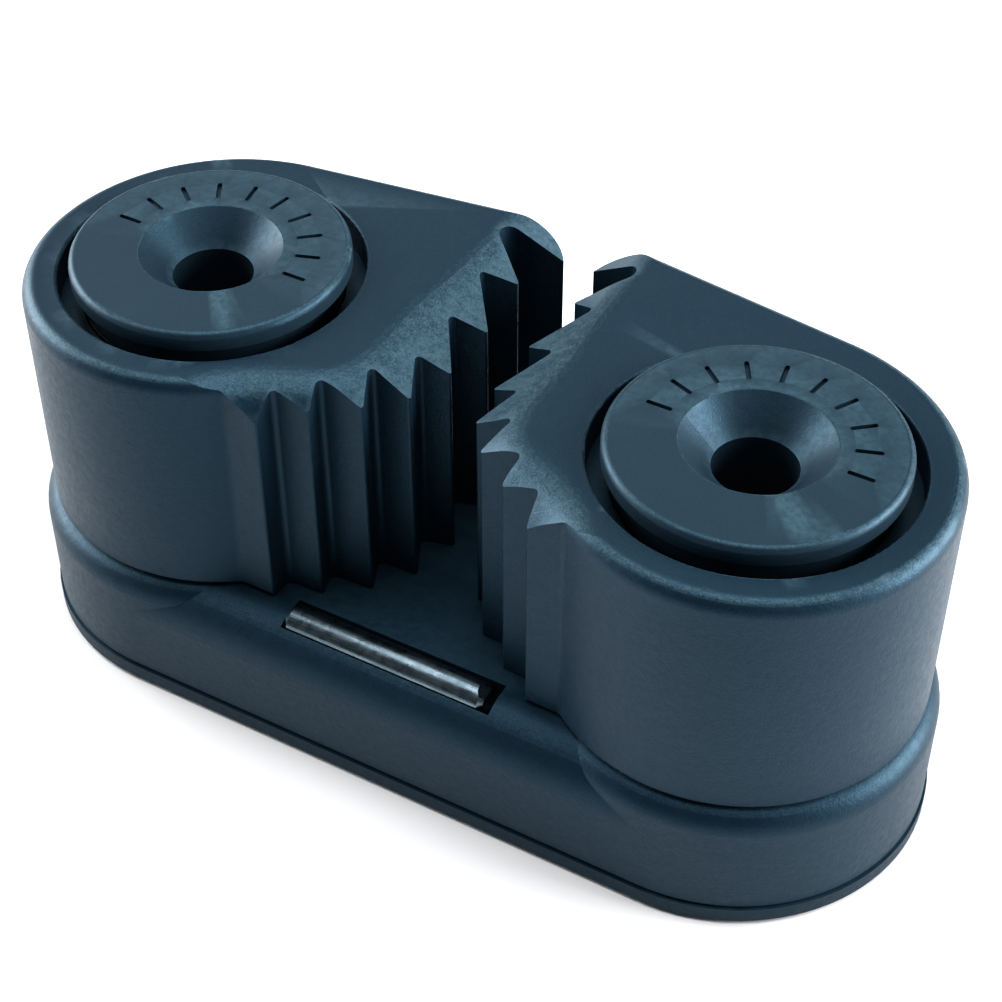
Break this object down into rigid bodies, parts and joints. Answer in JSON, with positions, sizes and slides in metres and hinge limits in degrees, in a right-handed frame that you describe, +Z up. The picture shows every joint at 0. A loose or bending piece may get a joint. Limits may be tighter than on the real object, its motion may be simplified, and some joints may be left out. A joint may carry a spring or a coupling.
{
  "type": "cam cleat",
  "caption": "Rope cam cleat: two sprung, toothed cams on ball bearings over a moulded base with a steel wear bar, fixed by screws through both hub caps.",
  "frame": {"origin": "midway between the two screw holes, on the underside of the bottom plate", "axes": "+X from the left to the right screw hole, the cleat's length; +Y towards the tail side, where the rope leaves for the hand; -Y towards the load; +Z up, away from the deck"},
  "size_m": [0.0642, 0.0284, 0.0279],
  "materials": {
    "base_nylon": "dark slate glass-filled nylon, fine satin grain",
    "plate_nylon": "dark slate nylon, matt",
    "cam_nylon": "dark slate glass-filled nylon, fine satin grain",
    "cap_nylon": "dark slate nylon, smooth satin",
    "race_plastic": "natural acetal",
    "ball_plastic": "polished acetal balls",
    "washer_plastic": "black acetal",
    "bar_steel": "polished stainless steel, lightly scuffed",
    "spring_steel": "drawn stainless spring wire"
  },
  "bodies": {
    "base": {"base_body": "base_nylon", "base_plate": "plate_nylon", "wear_bar": "bar_steel", "hub_cap_left": "cap_nylon", "inner_race_left": "race_plastic", "ball_retainer_left": "washer_plastic", "thrust_ring_left": "washer_plastic", "torsion_spring_left": "spring_steel", "hub_cap_right": "cap_nylon", "inner_race_right": "race_plastic", "ball_retainer_right": "washer_plastic", "thrust_ring_right": "washer_plastic", "torsion_spring_right": "spring_steel"},
    "left_cam": {"cam_left": "cam_nylon"},
    "right_cam": {"cam_right": "cam_nylon"},
    "left_balls": {"lower_ball_row_left": "ball_plastic", "upper_ball_row_left": "ball_plastic", "ball_spacer_left": "washer_plastic"},
    "right_balls": {"lower_ball_row_right": "ball_plastic", "upper_ball_row_right": "ball_plastic", "ball_spacer_right": "washer_plastic"}
  },
  "joints": [
    {"name": "left_cam_pivot", "type": "hinge", "parent": "base", "child": "left_cam", "pos_m": [-0.019, 0, 0.01], "axis": [0, 0, 1], "range_deg": [0, 60], "stiffness_Nm_per_rad": 0.04, "springref_deg": -34.38, "deforming": ["torsion_spring_left"]},
    {"name": "right_cam_pivot", "type": "hinge", "parent": "base", "child": "right_cam", "pos_m": [0.019, 0, 0.01], "axis": [0, 0, -1], "range_deg": [0, 60], "stiffness_Nm_per_rad": 0.04, "springref_deg": -34.38, "deforming": ["torsion_spring_right"]},
    {"name": "left_ball_orbit", "type": "hinge", "parent": "base", "child": "left_balls", "pos_m": [-0.019, 0, 0.01], "axis": [0, 0, 1], "range_deg": [0, 37]},
    {"name": "right_ball_orbit", "type": "hinge", "parent": "base", "child": "right_balls", "pos_m": [0.019, 0, 0.01], "axis": [0, 0, -1], "range_deg": [0, 37]}
  ],
  "couplings": [
    {"joint": "left_ball_orbit", "follows": "left_cam_pivot", "ratio": 0.61},
    {"joint": "right_ball_orbit", "follows": "right_cam_pivot", "ratio": 0.61}
  ]
}
